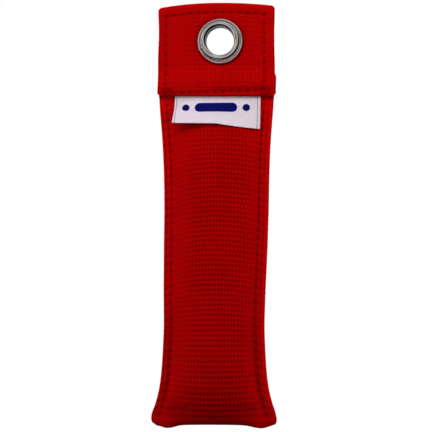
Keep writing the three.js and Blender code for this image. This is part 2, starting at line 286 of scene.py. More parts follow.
def strip_rows(left, right, fill, fill_normal, base_y, base_z, normal, thickness, radius, allowance):
    """Positions of the outer face for rows of the strip.

    left, right: outer edges in x. fill: (rows, N_FILL + 1, 3) middle surface of the filled part, with its
    normals. base_y: middle surface outside the fill. base_z: its height, from row numbers, x and side.
    normal: (rows, 3) outwards there. thickness: from the middle surface to the outer face. radius: of the
    turned edge. allowance: how far inside the seam the cloth is still that thick."""
    rows = len(left)
    p = np.zeros((rows, COLUMNS, 3))
    r = np.arange(rows)
    x_in = np.minimum(fill[:, :, 0] - fill[:, :1, 0], fill[:, -1:, 0] - fill[:, :, 0])
    near = 1 - ease(x_in / 7.0)[:, :, None]
    n = unit(normal[:, None, :] * near + fill_normal * (1 - near))
    thin = np.minimum(thickness, PLY + GAP)[:, None]
    t = thin + (thickness[:, None] - thin) * (1 - ease(x_in / allowance[:, None]))
    p[:, FIRST_FILL : LAST_FILL + 1] = fill + n * t[:, :, None]

    def place(x, side, out):
        return np.stack([x, base_y, base_z(r, x, side)], 1) + normal * out[:, None]

    for side, edge, seam, count in ((-1, left, fill[:, 0], N_LEFT), (1, right, fill[:, -1], N_RIGHT)):
        rim = edge - side * radius
        for k in range(count):
            x = seam[:, 0] + (rim - seam[:, 0]) * (k + 1) / count
            column = FIRST_FILL - 1 - k if side < 0 else LAST_FILL + 1 + k
            p[:, column] = place(x, side, thickness)
        centre = place(rim, side, thickness - radius)
        for k, angle in enumerate(TURN_ANGLES[::-1]):
            out = np.array([side, 0, 0]) * np.sin(angle) + normal * np.cos(angle)
            column = TURN - 1 - k if side < 0 else COLUMNS - TURN + k
            p[:, column] = centre + out * radius[:, None]
    return p


def flattened_normals(fill):
    """Normals of the filled part, leaning less to the sides, so that thickness doesn't widen the bag."""
    n = grid_normals(fill)
    n[:, :, 0] *= 0.4
    return unit(n)


FOLD_TURN = 3.6  # the seam turns from front to back within this distance of the bottom fold
LEFT_RISE, RIGHT_RISE = 1.0, 0.3  # of the bottom fold where it meets the seams


def sleeve_rows():
    """Front panel, bottom fold and back panel. Returns positions and distances along the strip."""
    front, back = fill_sleeve()
    n_panel = int(round(FLAT_LENGTH / STEP))
    down = np.linspace(0, SIM_DOWN, n_panel + 1)
    across = np.linspace(0, SIM_ACROSS, N_FILL + 1)
    # Front and back make one long grid, so that the bottom fold is smooth.
    both = np.concatenate([front, back[::-1][1:]])
    rows = np.concatenate([down, 2 * SIM_DOWN - down[::-1][1:]])
    by_row, by_column = resample(2 * SIM_DOWN + 1, rows), resample(SIM_ACROSS + 1, across)
    fill = np.einsum("ri,ijk,cj->rck", by_row, both, by_column)

    halves = [np.linspace(-1, 0, n_panel + 1), np.linspace(0, 1, n_panel + 1)[1:]]
    path = FLAT_LENGTH * np.concatenate(halves)
    v = 1 - np.abs(path) / FLAT_LENGTH
    z_seam = seam_height(v)
    # Nowhere nearer to the liner than the CAD's own cloth.
    across_fill = (fill[:, :, 0] - fill[:, :1, 0]) / (fill[:, -1:, 0] - fill[:, :1, 0])
    turned = np.arcsin(np.clip((2 * across_fill - 1) * np.sin(HALF_ARC), -1, 1))
    least = inner_depth(fill[:, :, 2]) * arc_share(turned) * ease((SEAM_TOP - z_seam)[:, None] / 4)
    least *= ease((CORNER_Z + 8 - z_seam)[:, None] / -6.0)
    depth = np.abs(fill[:, :, 1])
    softer = 0.5 * (depth + least + np.sqrt((depth - least) ** 2 + 0.16)) - 0.2
    fill[:, :, 1] = np.sign(fill[:, :, 1]) * np.where(depth > 0.3, softer, depth)
    # Lobes at the two ends of the bottom fold, and its middle drawn up a little.
    near_fold = ease((v - 0.93) / 0.07)[:, None]
    x = fill[:, :, 0]
    lobe = -1.7 * bell((x + 36.5) / 5.5) - 1.5 * bell((x - 26.5) / 6.0) + 0.4
    lobe += LEFT_RISE * bell((x - x[:, :1]) / 3.0) + RIGHT_RISE * bell((x - x[:, -1:]) / 3.0)
    fill[:, :, 2] += near_fold * lobe
    # Loose shot settles unevenly, so the filled part has slow, shallow swellings.
    s = np.abs(path)[:, None]
    lumps = 0.35 * np.sin(s / 9.1 + 0.7) * np.sin(x / 11.3 + 1.9) + 0.3 * np.sin(s / 17.3 + x / 23.0 + 0.4)
    full = np.clip(np.abs(fill[:, :, 1]) / 15, 0, 1) ** 2
    fill[:, :, 1] += np.sign(fill[:, :, 1]) * lumps * full

    angle = np.pi * ease((path + FOLD_TURN) / (2 * FOLD_TURN))
    normal = np.stack([0 * angle, -np.cos(angle), -np.sin(angle)], 1)

    def height(r, x, side):
        """The seam's own height, rounded off at the lower corner."""
        corner, rise = (0, LEFT_RISE) if side < 0 else (-1, RIGHT_RISE)
        d = np.abs(x - fill[r, corner, 0])
        lift = rise + (0.11 * d**2 if side < 0 else 0.36 * d)
        return z_seam[r] + near_fold[r, 0] * (lobe[r, corner] + lift - rise)

    ones = np.ones(len(path))
    round_off = rounded(np.abs(path), 1.8, 0.9)
    left, right = left_edge(z_seam) + round_off, right_edge(z_seam) - round_off
    thickness, radius, allowance = (2 * PLY + GAP) * ones, 1.0 * ones, 8.0 * ones
    fill_normal = flattened_normals(fill)
    p = strip_rows(left, right, fill, fill_normal, 0 * ones, height, normal, thickness, radius, allowance)
    return p, path


def crest(x):
    """Height of the folded top edge, a low dome."""
    return CREST_TOP - np.where(x < -3.7, 3.5, 2.5) * ((x + 3.7) / 41.5) ** 2


def flap_edge(x):
    """Height of the flap's lower edge."""
    return FLAP_BOTTOM - 0.45 * (x + 2.8) / 42


SOFTEN = 12  # rows either side that the flap's slope is averaged over


def header_rows(down):
    """Rows of the header: up its back, or down its front from the crest. Returns positions and lengths."""
    low = FLAP_BOTTOM + HEM_RADIUS if down else SEAM_TOP
    height = CREST_TOP - low
    count = int(round(height / STEP))
    t = np.linspace(0, 1, count + 1)
    if down:
        t = t[::-1]
    z = low + t * height  # nominal, in the middle of the header
    from_crest = (1 - t) * height
    round_off = rounded(from_crest, 1.1, 1.1)
    side = -1 if down else 1
    turn = 0.5 * np.pi * ease(from_crest / 1.9)
    normal = np.stack([0 * turn, side * np.sin(turn), np.cos(turn)], 1)
    if down:
        bulge = ease((-21 - z) / 5)
        left = HEADER_LEFT - 0.55 * ease((5 - z) / 45) + 0.22 * np.sin(z / 6.3)
        right = HEADER_RIGHT + 1.15 * bulge - 0.2 * np.sin(z / 7.1 + 1)
        # The face slopes out between these heights, to pass over the hem and the sleeve's foot.
        out = np.interp(z, [-30.5, -19.5], [FLAP_FACE, PLY + GAP])
        kernel = bell(np.arange(-SOFTEN, SOFTEN + 1) / 5.0)
        padded = np.pad(out, SOFTEN, mode="edge")
        thickness = np.convolve(padded, kernel / kernel.sum(), "valid")
        radius = 0.5 + 0 * t
        allowance = 1e6 + 0 * t  # all the way across
        round_off = round_off + rounded(z - low, 1.6, 1.3)
    else:
        joined = ease((z - low) / 5)
        left = left_edge(low) * (1 - joined) + (HEADER_LEFT + 0.15) * joined
        right = right_edge(low) * (1 - joined) + (HEADER_RIGHT - 0.15) * joined
        thickness = 2 * PLY + GAP - joined
        radius = 1.0 - 0.5 * joined
        allowance = 8.0 + 0 * t
    left = left + round_off
    right = right - round_off
    seam_left = left + FLANGE_LEFT
    seam_right = right - FLANGE_RIGHT
    g = np.linspace(0, 1, N_FILL + 1)
    x = seam_left[:, None] + (seam_right - seam_left)[:, None] * g

    def level(t, x):
        top = crest(x) - (PLY + GAP)
        bottom = flap_edge(x) + HEM_RADIUS if down else low
        return bottom + t * (top - bottom)

    fill = np.stack([x, 0 * x, level(t[:, None], x)], 2)
    fill_normal = np.repeat(normal[:, None, :], N_FILL + 1, 1)

    def height_at(r, x, side):
        return level(t[r], x)

    p = strip_rows(left, right, fill, fill_normal, 0 * t, height_at, normal, thickness, radius, allowance)
    return p, from_crest


def hem_rows(last):
    """The flap's lower edge turned in: half a turn, then up inside. last is the row it starts from."""
    centre_y = -FLAP_FACE + HEM_RADIUS
    radius = (centre_y - last[:, 1])[:, None]
    centre = np.stack([last[:, 0], 0 * last[:, 1] + centre_y, last[:, 2]], 1)
    rows = [centre + radius * np.array([0, -np.cos(a), -np.sin(a)]) for a in np.linspace(0, np.pi, 10)[1:]]
    rows += [rows[-1] + np.array([0, 0, 0.6 * k]) for k in range(1, 7)]
    return np.array(rows)


FOOT_ROWS = 12


def foot_rows(first):
    """The front panel goes on up behind the flap. first is its topmost row; these rows end just above it."""
    rows = []
    for k in range(FOOT_ROWS, 0, -1):
        row = first.copy()
        row[:, 2] = first[:, 2] + STEP * k
        reach = ease(k / 5.0)
        row[:, 1] = first[:, 1] * (1 - reach) + np.minimum(first[:, 1], -2.22) * reach
        rows.append(row)
    return np.array(rows)


# ---- The strip, assembled ----

sleeve_p, sleeve_path = sleeve_rows()
back_p, back_from_crest = header_rows(False)
flap_p, flap_from_crest = header_rows(True)
hem_p = hem_rows(flap_p[-1])
foot_p = foot_rows(sleeve_p[0])
crest_path = FLAT_LENGTH + back_from_crest[0]
shape = np.concatenate([foot_p, sleeve_p, back_p[1:], flap_p[1:], hem_p])
path = np.concatenate(
    [
        -FLAT_LENGTH - STEP * np.arange(FOOT_ROWS, 0, -1),
        sleeve_path,
        crest_path - back_from_crest[1:],
        crest_path + flap_from_crest[1:],
        crest_path + flap_from_crest[-1] + 0.4 * np.arange(1, len(hem_p) + 1),
    ]
)
ROW_BOTTOM = len(foot_p) + int(np.argmin(np.abs(sleeve_path)))
ROW_BACK_TOP = len(foot_p) + len(sleeve_p) - 1  # the back's row at the height of the seam's top
ROW_CUT = ROW_BACK_TOP + 14  # header_back starts here, clear of the bend
ROW_CREST = ROW_BACK_TOP + len(back_p) - 1
ROW_HEM = ROW_CREST + len(flap_p) - 1

# Distance across the flat cloth from the middle of the strip, and distance along it in rows of weave.
g = (np.arange(COLUMNS) - FIRST_FILL) / N_FILL
HEADER_FILL = 69.9  # between the header's flanges
seam_share = 1 - np.abs(path) / FLAT_LENGTH
fill_width = np.where(path <= FLAT_LENGTH, panel_width(seam_height(seam_share)), HEADER_FILL)
cloth_u = (np.clip(g, 0, 1) - 0.5)[None, :] * fill_width[:, None]
gaps = np.linalg.norm(np.diff(shape, axis=1), axis=2)
outside_left = np.cumsum(gaps[:, FIRST_FILL - 1 :: -1], axis=1)[:, ::-1]
outside_right = np.cumsum(gaps[:, LAST_FILL:], axis=1)
cloth_u[:, :FIRST_FILL] -= outside_left
cloth_u[:, LAST_FILL + 1 :] += outside_right
PITCH = ([0, 20, 35, 62, 95, 130, 200, 244, 400], [4.15, 4.1, 3.95, 3.87, 3.72, 3.66, 3.56, 3.5, 3.5])
fine = np.arange(0, 420, 0.1)
rows_at = np.concatenate([[0], np.cumsum(0.1 / np.interp(fine[:-1] + 0.05, *PITCH))])
# The swelling draws the rows of weave up into a low arch, and the other way near the bottom fold.
ARCH = ([0, 12, 30, 62, 95, 185, 225, 244], [0.0, -1.8, -2.2, 0.0, 3.2, 4.0, 1.6, 0.0])
off_middle = 2 * np.clip(g, 0, 1) - 1
bowed = off_middle**2 * np.where(off_middle < 0, 1.2, 0.8)
along_cloth = np.abs(path)[:, None] + np.interp(np.abs(path), *ARCH)[:, None] * bowed
cloth_v = np.sign(path)[:, None] * np.interp(along_cloth, fine, rows_at)

# ---- Stitching: where it pulls the cloth in ----

relief = np.zeros(shape.shape[:2])  # outwards, in millimetres
painted_shade = np.zeros(shape.shape[:2])  # painted shade in pits, creases and grooves, up to 1, and painted highlight below 0
weave_scale = np.ones(shape.shape[:2])
weave_scale *= 1 - 0.6 * ease((np.abs(off_middle - 0.15) - 0.45) / 0.5)  # it shows less on the sides, in relief and in its painted gap shade, as side light fills the gaps there
# Painted highlight, by column: lighter colour on the flanges and the sides of the filled part.
SIDE_HIGHLIGHT = (
    [FIRST_FILL - 2, FIRST_FILL + 4, FIRST_FILL + 40, LAST_FILL - 46, LAST_FILL - 4, LAST_FILL + 2],
    [0.42, 0.12, 0.0, 0.0, 0.28, 0.4],
)
FRONT = (len(foot_p), ROW_BOTTOM)
BACK = (ROW_BOTTOM, ROW_BACK_TOP)
HEADER_BACK = (ROW_BACK_TOP, ROW_CREST)
FLAP = (ROW_CREST, ROW_HEM)
VALLEY_WIDTH, PIT_WIDTH, SHADE_WIDTH = 0.85, 0.62, 0.95


# Paints shade: keeps the darker of the shade already there and this one.
def darken(zone, shade):
    painted_shade[zone] = np.maximum(painted_shade[zone], shade)


def pull_in(zone, distance, along, holes, depth=0.34, pit=0.5):
    """Presses a line of stitching into the relief: a valley, a pit at each hole and a pucker round it, and
    paints shade into the valley and the pits.
    """
    nearest = np.full(distance.shape, 9.0)
    for hole in holes:
        nearest = np.minimum(nearest, np.abs(along - hole))
    from_hole = distance**2 + nearest**2
    valley = bell(distance / VALLEY_WIDTH)
    relief[zone] -= depth * valley
    relief[zone] -= pit * np.exp(-from_hole / PIT_WIDTH**2)
    relief[zone] -= 0.22 * np.exp(-((distance / 1.9) ** 2) - (nearest / 1.3) ** 2)
    # Painted shade at each hole and along the valley.
    spot = np.exp(-from_hole / SHADE_WIDTH**2)
    darken(zone, np.maximum(0.2 * pit / 0.5 * valley, pit / 0.5 * spot))
    weave_scale[zone] *= 1 - 0.7 * valley


def row_at_path(value):
    return np.interp(value, path, np.arange(len(path)))


def locate(region, x, z):
    """Fractional row and column of the point of a region with this x and z."""
    low, high = region
    part = shape[low : high + 1, TURN : COLUMNS - TURN]
    i, j = np.unravel_index(np.argmin((part[:, :, 0] - x) ** 2 + (part[:, :, 2] - z) ** 2), part.shape[:2])
    i = np.clip(i, 1, part.shape[0] - 2)
    j = np.clip(j, 1, part.shape[1] - 2)
    per_row = (part[i + 1, j, 2] - part[i - 1, j, 2]) / 2
    per_column = (part[i, j + 1, 0] - part[i, j - 1, 0]) / 2
    row = low + i + (z - part[i, j, 2]) / per_row
    return row, TURN + j + (x - part[i, j, 0]) / per_column


stitch_runs = []  # (piece, CAD node, body, [(row, column) of each hole])

# The two seams, each with two rows of stitching, front and back. By distance from the bottom fold, the inner
# row's pit depth and painted shade, and its groove's depth and painted shade:
INNER_PITS = ([0, 15, 50, 80, 150, 190, 244], [0.5, 0.5, 0.4, 0.26, 0.22, 0.34, 0.4])
INNER_GROOVE = ([0, 10, 40, 100, 244], [0.2, 0.9, 0.8, 0.3, 0.15])
seam_path = FLAT_LENGTH - np.arange(3.4, FLAT_LENGTH - 4.0, STITCH_PITCH)
for half, (low, high), sign in (("needle", FRONT, -1), ("bobbin", BACK, 1)):
    rows = np.arange(low, high + 1)
    for side, inwards, flange, edge_of, columns in (
        ("left", 1, FLANGE_LEFT, left_edge, np.arange(TURN, FIRST_FILL + 10)),
        ("right", -1, FLANGE_RIGHT, right_edge, np.arange(LAST_FILL - 10, COLUMNS - TURN)),
    ):
        zone = np.ix_(rows, columns)
        seam_column = FIRST_FILL if side == "left" else LAST_FILL
        edge = edge_of(shape[rows, seam_column, 2])
        for row_name, offset, shift in (("inner", INNER_ROW, 0.0), ("outer", OUTER_ROW, 1.9)):
            line_x = edge + inwards * (flange - offset)
            holes = seam_path - shift
            along = np.repeat(np.abs(path[rows])[:, None], len(columns), 1)
            distance = shape[zone][:, :, 0] - line_x[:, None]
            if row_name == "inner":
                pit = np.interp(np.abs(path[rows]), *INNER_PITS)
                pull_in(zone, distance, along, holes, depth=0.28, pit=pit[:, None])
                # A groove along the inner row, pressed in and darkened with painted shade, more on the right.
                groove = bell((distance + inwards * 0.2) / 1.7)
                groove *= np.interp(np.abs(path[rows]), *INNER_GROOVE)[:, None]
                relief[zone] -= 0.45 * groove
                darken(zone, (0.55 if side == "right" else 0.4) * groove)
            else:
                pull_in(zone, distance, along, holes, depth=0.22, pit=0.12)
            at_row = row_at_path(sign * holes)
            at_x = np.interp(at_row, rows, line_x)
            places = []
            for r, x in zip(at_row, at_x):
                k = int(round(r))
                places.append((r, np.interp(x, shape[k, columns, 0], columns)))
            name = f"{side}_{row_name}_{half}"
            stitch_runs.append((f"{name}_stitches", f"{name}_thread", "bag", places))
    to_edge = np.minimum(np.arange(COLUMNS), COLUMNS - 1 - np.arange(COLUMNS)) - TURN
    weave_scale[rows] *= 0.25 + 0.75 * ease(to_edge / 8.0)
    weave_scale[rows] *= 0.3 + 0.7 * ease(np.abs(path[rows]) / 9.0)[:, None]

# The seams fade out round the bottom fold. The flanges and the sides of the filled part are painted lighter,
# a painted highlight that is weaker near the fold, and the lower middle is painted darker, a painted shade.
rows = np.arange(FRONT[0], BACK[1] + 1)
relief[rows] *= 0.15 + 0.85 * ease((np.abs(path[rows]) - 2.0) / 6.0)[:, None]
wear_and_side_highlight = np.interp(np.arange(COLUMNS), *SIDE_HIGHLIGHT)
above_fold = 0.4 + 0.6 * ease((np.abs(path[rows]) - 10.0) / 30.0)
# Painted shade, darker towards the lower middle of the filled part.
low_middle_shade = 0.15 * ease((46.0 - np.abs(path[rows])) / 34.0)[:, None] * ease((to_edge - 12) / 14)
painted_shade[rows] -= above_fold[:, None] * wear_and_side_highlight * (1 - np.clip(painted_shade[rows] / 0.3, 0, 1))
painted_shade[rows] += low_middle_shade

# The box of stitching through the header.

LEFT_TACK, RIGHT_TACK, TACK_Z = BOX_LEFT + 1.0, BOX_RIGHT + 0.6, -37.1
OVERLAP_END, OVERLAP_RISE = -6.0, 2.1  # of the stitching that runs back over the bottom row
BACK_FLANGE_R = 16.2  # outer radius of the eyelet's back flange; its washer is a little wider


def box_top(x):
    return crest(x) - BOX_BELOW_CREST


def box_bottom(x):
    return BOX_BOTTOM - 1.9 + 1.8 * (x - BOX_LEFT) / (BOX_RIGHT - BOX_LEFT)


def evenly(a, b, pitch=STITCH_PITCH):
    return np.linspace(a, b, int(round(abs(b - a) / pitch)) + 1)


left_low, left_high = box_bottom(BOX_LEFT), box_top(BOX_LEFT)
right_low, right_high = box_bottom(BOX_RIGHT), box_top(BOX_RIGHT)
for half, region in (("bobbin", HEADER_BACK), ("needle", FLAP)):
    rows = np.arange(region[0], region[1] + 1)
    columns = np.arange(TURN, COLUMNS - TURN)
    zone = np.ix_(rows, columns)
    x, z = shape[zone][:, :, 0], shape[zone][:, :, 2]
    beside = np.maximum(np.maximum(BOX_LEFT - x, x - BOX_RIGHT), 0)
    above = np.maximum(z - box_top(x), 0)
    below = np.maximum(box_bottom(x) - z, 0)
    to_left, to_right = np.hypot(x - BOX_LEFT, above + below), np.hypot(x - BOX_RIGHT, above + below)
    to_top, to_bottom = np.hypot(z - box_top(x), beside), np.hypot(z - box_bottom(x), beside)
    nearest_line = np.minimum.reduce([to_left, to_right, to_top, to_bottom])
    inside = (beside + above + below) == 0
    puff = np.where(inside, 0.55 * (1 - np.exp(-nearest_line / 2.6)), 0.3 * (1 - np.exp(-nearest_line / 1.2)))
    from_eyelet = np.hypot(x, z)
    clear = ease((from_eyelet - 16.0) / 5.0)  # pressed flat under the washer
    relief[zone] += puff * clear - 0.5 * (1 - clear)
    weave_scale[zone] *= np.where(inside, 0.3 + 0.3 * clear, 0.3)
    # Painted shade under and just outside the eyelet's flange and washer.
    darken(zone, 0.55 * bell(np.maximum(from_eyelet - BACK_FLANGE_R, 0) / 0.8))
    pull_in(zone, to_left, z, evenly(left_low, left_high, SIDE_PITCH))
    pull_in(zone, to_right, z, evenly(right_low, right_high, SIDE_PITCH))
    pull_in(zone, to_top, x, evenly(BOX_LEFT, BOX_RIGHT))
    pull_in(zone, to_bottom, x, evenly(BOX_LEFT, BOX_RIGHT), pit=0.7)
    holes = [(BOX_LEFT, h) for h in evenly(left_low, left_high, SIDE_PITCH)]
    holes += [(h, box_top(h)) for h in evenly(BOX_LEFT, BOX_RIGHT)[1:]]
    holes += [(BOX_RIGHT, h) for h in evenly(right_high, right_low, SIDE_PITCH)[1:]]
    holes += [(h, box_bottom(h)) for h in evenly(BOX_RIGHT, BOX_LEFT)[1:]]
    places = [locate(region, *hole) for hole in holes]
    stitch_runs.append((f"header_box_{half}_stitches", f"header_box_{half}_thread", "header", places))
    if half == "needle":
        # The stitching ends by running back over itself, a little above the bottom row.
        back_over = np.arange(BOX_RIGHT - 1.5, OVERLAP_END, -STITCH_PITCH)
        past_end = np.maximum(np.maximum(OVERLAP_END - x, x - BOX_RIGHT), 0)
        to_row = np.hypot(z - box_bottom(x) - OVERLAP_RISE, past_end)
        pull_in(zone, to_row, x, back_over, depth=0.2, pit=0.35)
        stitch_runs[-1][3].append(None)
        stitch_runs[-1][3].extend(locate(region, h, box_bottom(h) + OVERLAP_RISE) for h in back_over)
# A bartack presses the cloth down under its block of close stitches, and the cloth there is darkened with
# painted shade.
for tack_x in (LEFT_TACK, RIGHT_TACK):
    rows = np.arange(FLAP[0], FLAP[1] + 1)
    x, z = shape[rows][:, :, 0], shape[rows][:, :, 2]
    block = ease((4.6 - np.abs(x - tack_x)) / 1.6) * ease((3.6 - np.abs(z - TACK_Z)) / 1.4)
    relief[rows] -= 0.35 * block
    darken(rows, 0.45 * block)
for region in (HEADER_BACK, (ROW_CREST, len(path) - 1)):
    rows = np.arange(region[0], region[1] + 1)
    for columns in (np.arange(0, TURN), np.arange(COLUMNS - TURN, COLUMNS)):
        weave_scale[np.ix_(rows, columns)] *= 0.3
weave_scale[: len(foot_p)] *= 0.2
weave_scale[ROW_HEM + 3 :] *= 0.3

# ---- Weave ----

YARN_DEPTH = 0.42
ROW_DEPTH = 0.26


def weave_height(u, v):
    """Upright zigzag yarns that go over and under: gaps between them are deepest in the middle of a row."""
    zigzag = 1 - 2 * np.abs((v % 2 + 2) % 2 - 1)
    phase = u / CELL + 0.25 * zigzag
    yarn = np.abs(np.sin(np.pi * phase)) ** 0.7
    middle = 0.5 - 0.5 * np.cos(2 * np.pi * v)
    return YARN_DEPTH * (yarn - 1) * (0.4 + 0.6 * middle) + ROW_DEPTH * 0.5 * np.cos(2 * np.pi * v)


outward = grid_normals(shape)
calm = shape + outward * relief[:, :, None]  # the cloth without its weave, which the threads lie on
final = calm + outward * (weave_height(cloth_u, cloth_v) * weave_scale)[:, :, None]


# ---- Meshes ----


def mesh_object(name, points, faces, uvs=None, values=None):
    """A smooth mesh from points in millimetres, with a UV and named numbers for each point."""
    mesh = bpy.data.meshes.new(name)
    points = np.asarray(points, float)
    faces = np.asarray(faces, int)
    mesh.vertices.add(len(points))
    mesh.vertices.foreach_set("co", (points * MM).ravel().astype(np.float32))
    size = faces.shape[1]
    mesh.loops.add(faces.size)
    mesh.loops.foreach_set("vertex_index", faces.ravel().astype(np.int32))
    mesh.polygons.add(len(faces))
    mesh.polygons.foreach_set("loop_start", (np.arange(len(faces)) * size).astype(np.int32))
    mesh.polygons.foreach_set("use_smooth", np.ones(len(faces), bool))
    mesh.update(calc_edges=True)
    if uvs is not None:
        layer = mesh.uv_layers.new(name="cloth")
        layer.data.foreach_set("uv", np.asarray(uvs, np.float32)[faces.ravel()].ravel())
    for key, value in (values or {}).items():
        attribute = mesh.attributes.new(key, "FLOAT", "POINT")
        attribute.data.foreach_set("value", np.asarray(value, np.float32).ravel())
    mesh.validate()
    piece = bpy.data.objects.new(name, mesh)
    scene.collection.objects.link(piece)
    return piece


def grid_faces(rows, columns, wrap=False):
    """Quads of a grid of points, numbered row by row. wrap joins the last column to the first."""
    index = np.arange(rows * columns).reshape(rows, columns)
    if wrap:
        index = np.concatenate([index, index[:, :1]], 1)
    return grid_quads(index)


def strip_piece(name, first, last, hole=0.0):
    """Rows first to last of the strip as one piece, with no faces nearer than hole to the eyelet's axis."""
    part = final[first : last + 1]
    rows = part.shape[0]
    faces = grid_faces(rows, COLUMNS)
    points = part.reshape(-1, 3)
    uvs = np.stack([cloth_u[first : last + 1].ravel() / CELL, cloth_v[first : last + 1].ravel()], 1)
    shade = painted_shade[first : last + 1].ravel()
    strength = weave_scale[first : last + 1].ravel()
    if hole:
        radius = np.hypot(points[:, 0], points[:, 2])
        faces = faces[(radius[faces] > hole).all(1)]
        used, inverse = np.unique(faces, return_inverse=True)
        faces = inverse.reshape(faces.shape)
        points, uvs, shade, strength = points[used], uvs[used], shade[used], strength[used]
    return mesh_object(name, points, faces, uvs, {"painted_shade": shade, "weave": strength})


HOLE = 12.4  # the header's cloth is cut away nearer than this to the eyelet's axis
sleeve_front = strip_piece("sleeve_front", 0, ROW_BOTTOM)
sleeve_back = strip_piece("sleeve_back", ROW_BOTTOM, ROW_CUT)
header_back = strip_piece("header_back", ROW_CUT, ROW_CREST, HOLE)
header_flap = strip_piece("header_flap", ROW_CREST, len(path) - 1, HOLE)


def sample(grid, row, column):
    """Reads a grid between its points."""
    i = np.clip(np.floor(row).astype(int), 0, grid.shape[0] - 2)
    j = np.clip(np.floor(column).astype(int), 0, grid.shape[1] - 2)
    a = (row - i)[:, None]
    b = (column - j)[:, None]
    top = grid[i, j] * (1 - b) + grid[i, j + 1] * b
    low = grid[i + 1, j] * (1 - b) + grid[i + 1, j + 1] * b
    return top * (1 - a) + low * a


def tube(centres, normals, width, height, sides=8):
    """Points, faces and UV of a flattened tube along centres, drawn in almost to a point at its ends."""
    along = unit(np.gradient(centres, axis=0))
    side = unit(np.cross(along, normals))
    up = np.cross(side, along)
    angles = 2 * np.pi * np.arange(sides) / sides
    n = len(centres)
    swell = np.sin(np.pi * np.clip(np.arange(n) / (n - 1), 0.02, 0.98)) ** 0.35
    ring = side[:, None] * (np.cos(angles)[:, None] * width)
    ring = ring + up[:, None] * (np.sin(angles)[:, None] * height)
    points = centres[:, None] + ring * swell[:, None, None]
    distance = np.concatenate([[0], np.cumsum(np.linalg.norm(np.diff(centres, axis=0), axis=1))])
    uvs = np.stack(np.broadcast_arrays(distance[:, None], (np.arange(sides) / sides)[None, :]), 2)
    return points.reshape(-1, 3), grid_faces(n, sides, wrap=True), uvs.reshape(-1, 2)


def joined(parts):
    """Several (points, faces, uvs) as one."""
    points, faces, uvs, start = [], [], [], 0
    for p, f, uv in parts:
        points.append(p)
        faces.append(f + start)
        uvs.append(uv)
        start += len(p)
    return np.concatenate(points), np.concatenate(faces), np.concatenate(uvs)


THREAD = (0.42, 0.33)  # half its width and half its height


def strand(start, end, t):
    """Rows and columns at the shares t of the way from one place to another."""
    return start[0] + (end[0] - start[0]) * t, start[1] + (end[1] - start[1]) * t


def thread_tube(row, column, lift, width, height):
    """A tube along these rows and columns of the cloth, lifted off it."""
    normals = sample(outward, row, column)
    centres = sample(calm, row, column) + normals * lift[:, None]
    return tube(centres, normals, width, height)


def thread_piece(name, node, body, points, faces, uvs, shade=0.0):
    piece = mesh_object(name, points, faces, uvs, {"painted_shade": np.full(len(points), shade)})
    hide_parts(node)
    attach(piece, body)
    return piece


def stitches(name, node, body, places):
    """One thread, seen as a short strand from each hole to the next. None among the places is a gap."""
    t = np.linspace(0, 1, 11)
    lift = -0.5 + 0.74 * np.sin(np.pi * t) ** 0.42
    runs = [pair for pair in zip(places, places[1:]) if None not in pair]
    parts = [thread_tube(*strand(start, end, t), lift, *THREAD) for start, end in runs]
    return thread_piece(name, node, body, *joined(parts))


TACK_WIDTH, TACK_HEIGHT, TACK_CORNERS = 5.8, 5.4, 17
TACK_THREAD = (0.34, 0.3)


def bartack(name, node, centre_x):
    """A block of close zigzag stitching through the flap."""
    xs = centre_x + np.linspace(-TACK_WIDTH / 2, TACK_WIDTH / 2, TACK_CORNERS)
    zs = [TACK_Z + (-0.5 if k % 2 else 0.5) * TACK_HEIGHT for k in range(TACK_CORNERS)]
    places = [locate(FLAP, x, z) for x, z in zip(xs, zs)]
    t = np.linspace(0, 1, 9)[:-1]
    runs = [strand(start, end, t) for start, end in zip(places, places[1:])]
    row, column = np.concatenate(runs, axis=1)
    lift = np.tile(0.05 + 0.4 * np.sin(np.pi * t) ** 0.5, len(runs))
    # The bartack's thread is darkened too: painted shade.
    return thread_piece(name, node, "header", *thread_tube(row, column, lift, *TACK_THREAD), shade=0.55)


threads = [stitches(*run) for run in stitch_runs]
threads.append(bartack("left_bartack_stitches", "left_bartack", LEFT_TACK))
threads.append(bartack("right_bartack_stitches", "right_bartack", RIGHT_TACK))


# ---- Label ----

LABEL_TOP = -33.0
LABEL_CUT = -45.5  # the two pieces of the label meet here
LABEL_LEFT, LABEL_RIGHT = -32.5, 29.1
LABEL_FREE = 16.2  # below the pivot
LABEL_PLY = 0.35
LABEL_ROWS, LABEL_COLUMNS, LABEL_MIDDLE = 70, 124, 60
LABEL_STRAIGHT = 7.0  # the length inside the hem that stays upright
LABEL_Y = -2.475  # of that length
LABEL_ENDS = ([0, 0.12, 0.5, 0.78, 1], [44, 43, 41, 24, 9])  # degrees off the bag at the free edge


def front_y(x, z):
    """The sleeve's front face at this x and z."""
    rows = slice(0, ROW_BOTTOM - 20)
    height = calm[rows, FIRST_FILL + N_FILL // 2, 2]
    k = np.round(np.interp(-z, -height, np.arange(len(height)))).astype(int)
    result = np.empty_like(x)
    for i in np.unique(k):
        pick = k == i
        row = calm[i, TURN : COLUMNS - TURN]
        result[pick] = np.interp(x[pick], row[:, 0], row[:, 1])
    return result


